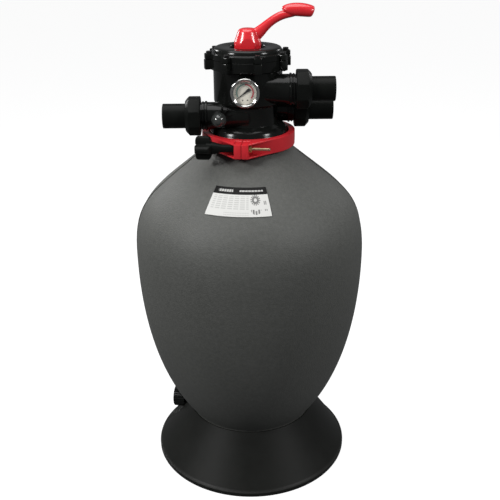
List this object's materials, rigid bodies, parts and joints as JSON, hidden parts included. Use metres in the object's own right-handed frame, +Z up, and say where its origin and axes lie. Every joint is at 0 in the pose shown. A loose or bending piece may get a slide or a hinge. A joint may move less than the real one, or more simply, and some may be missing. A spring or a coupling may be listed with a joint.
{
  "type": "sand filter tank",
  "caption": "Egg-shaped sand filter tank on a round base, with a clamped multiport valve, lever handle, pressure gauge, sight glass and pipe unions.",
  "frame": {"origin": "on the tank's axis at the floor, the centre of the ring that the base stands on", "axes": "+Z up along the tank; -Y towards the pressure gauge; -X along the waste port, +X along the pump and return ports"},
  "size_m": [0.5, 0.5, 1.0405],
  "materials": {
    "tank_grey": "fine orange-peel moulded texture",
    "base_black": "semi-matt moulded",
    "gloss_black": "glossy moulded",
    "handle_red": "glossy moulded",
    "clamp_red": "glossy moulded",
    "seal_rubber": "smooth rubber",
    "white_plastic": "extruded and moulded",
    "dial_white": "printed dial",
    "label_white": "printed film",
    "steel": "zinc plated",
    "polished_steel": "polished",
    "gauge_black": "black lacquer",
    "brass": "machined",
    "clear_plastic": "clear moulded",
    "lens_glass": "clear"
  },
  "bodies": {
    "root": {"base_skirt": "base_black", "clamp_hinge_pin": "steel", "clamp_left": "clamp_red", "cover_oring": "seal_rubber", "cover_screw_1": "steel", "cover_screw_2": "steel", "cover_screw_3": "steel", "cover_screw_4": "steel", "cover_screw_5": "steel", "cover_screw_6": "steel", "cover_screw_7": "steel", "cover_screw_8": "steel", "diffuser": "white_plastic", "drain_nut": "gloss_black", "drain_spigot": "gloss_black", "gauge_bezel": "polished_steel", "gauge_bourdon_tube": "brass", "gauge_case": "gauge_black", "gauge_dial": "dial_white", "gauge_lens": "lens_glass", "lateral_1": "white_plastic", "lateral_2": "white_plastic", "lateral_3": "white_plastic", "lateral_4": "white_plastic", "lateral_5": "white_plastic", "lateral_6": "white_plastic", "lateral_7": "white_plastic", "lateral_8": "white_plastic", "lateral_hub": "gloss_black", "sight_glass": "clear_plastic", "sight_glass_oring": "seal_rubber", "spider_gasket": "seal_rubber", "standpipe": "white_plastic", "stem_oring": "seal_rubber", "tank_label": "label_white", "tank_oring": "seal_rubber", "tank_shell": "tank_grey", "valve_body": "gloss_black", "valve_cover": "gloss_black", "valve_spring": "steel"},
    "lift_washer": {"spring_washer": "steel"},
    "diverter": {"rotor": "gloss_black", "handle_pin": "steel"},
    "handle": {"handle": "handle_red"},
    "gauge_needle": {"gauge_needle": "gauge_black"},
    "drain_seal": {"drain_oring": "seal_rubber"},
    "drain_cap": {"drain_cap": "gloss_black"},
    "clamp_knob": {"clamp_knob": "gloss_black", "clamp_stud": "steel"},
    "clamp_right": {"clamp_right": "clamp_red", "clamp_nut": "brass"},
    "waste_tail": {"union_tail_waste": "gloss_black", "union_oring_waste": "seal_rubber"},
    "waste_nut": {"union_nut_waste": "gloss_black"},
    "pump_tail": {"union_tail_pump": "gloss_black", "union_oring_pump": "seal_rubber"},
    "pump_nut": {"union_nut_pump": "gloss_black"},
    "return_tail": {"union_tail_return": "gloss_black", "union_oring_return": "seal_rubber"},
    "return_nut": {"union_nut_return": "gloss_black"}
  },
  "joints": [
    {"name": "rotor_lift", "type": "slide", "parent": "root", "child": "lift_washer", "axis": [0, 0, 1], "range_m": [0, 0.005], "deforming": ["valve_spring"]},
    {"name": "handle_turn", "type": "hinge", "parent": "lift_washer", "child": "diverter", "pos_m": [0, 0, 0.965], "axis": [0, 0, 1], "continuous": true},
    {"name": "handle_press", "type": "hinge", "parent": "diverter", "child": "handle", "pos_m": [0, 0, 0.965], "axis": [0, 1, 0], "range_deg": [0, 12], "stiffness_Nm_per_rad": 20, "springref_deg": -5.73},
    {"name": "gauge_needle", "type": "hinge", "parent": "root", "child": "gauge_needle", "pos_m": [-0.006, -0.0925, 0.882], "axis": [0, 1, 0], "range_deg": [0, 270], "stiffness_Nm_per_rad": 0.0005},
    {"name": "drain_seal_slide", "type": "slide", "parent": "root", "child": "drain_seal", "axis": [-0.9816, 0.1908, 0], "range_m": [0, 0.012]},
    {"name": "drain_cap_turn", "type": "hinge", "parent": "drain_seal", "child": "drain_cap", "pos_m": [-0.18651, 0.03625, 0.1], "axis": [-0.9816, 0.1908, 0], "range_deg": [0, 1440]},
    {"name": "clamp_knob_turn", "type": "hinge", "parent": "root", "child": "clamp_knob", "pos_m": [-0.01365, -0.11116, 0.775], "axis": [-0.9925, 0.1219, 0], "range_deg": [0, 720]},
    {"name": "clamp_right_swing", "type": "hinge", "parent": "root", "child": "clamp_right", "pos_m": [0.01292, 0.10521, 0.7717], "axis": [0, 0, 1], "range_deg": [0, 0.66]},
    {"name": "waste_tail_slide", "type": "slide", "parent": "root", "child": "waste_tail", "axis": [-1, 0, 0], "range_m": [0, 0.012]},
    {"name": "waste_nut_turn", "type": "hinge", "parent": "waste_tail", "child": "waste_nut", "pos_m": [-0.1125, -0.036, 0.8237], "axis": [-1, 0, 0], "range_deg": [0, 1440]},
    {"name": "pump_tail_slide", "type": "slide", "parent": "root", "child": "pump_tail", "axis": [1, 0, 0], "range_m": [0, 0.012]},
    {"name": "pump_nut_turn", "type": "hinge", "parent": "pump_tail", "child": "pump_nut", "pos_m": [0.1125, -0.036, 0.877], "axis": [1, 0, 0], "range_deg": [0, 1440]},
    {"name": "return_tail_slide", "type": "slide", "parent": "root", "child": "return_tail", "axis": [1, 0, 0], "range_m": [0, 0.012]},
    {"name": "return_nut_turn", "type": "hinge", "parent": "return_tail", "child": "return_nut", "pos_m": [0.1125, 0.036, 0.822], "axis": [1, 0, 0], "range_deg": [0, 1440]}
  ],
  "couplings": [
    {"joint": "rotor_lift", "follows": "handle_press", "m_per_rad": 0.023871},
    {"joint": "drain_seal_slide", "follows": "drain_cap_turn", "m_per_rad": 0.00047742},
    {"joint": "clamp_right_swing", "follows": "clamp_knob_turn", "ratio": 0.00091259},
    {"joint": "waste_tail_slide", "follows": "waste_nut_turn", "m_per_rad": 0.00047742},
    {"joint": "pump_tail_slide", "follows": "pump_nut_turn", "m_per_rad": 0.00047742},
    {"joint": "return_tail_slide", "follows": "return_nut_turn", "m_per_rad": 0.00047742}
  ]
}
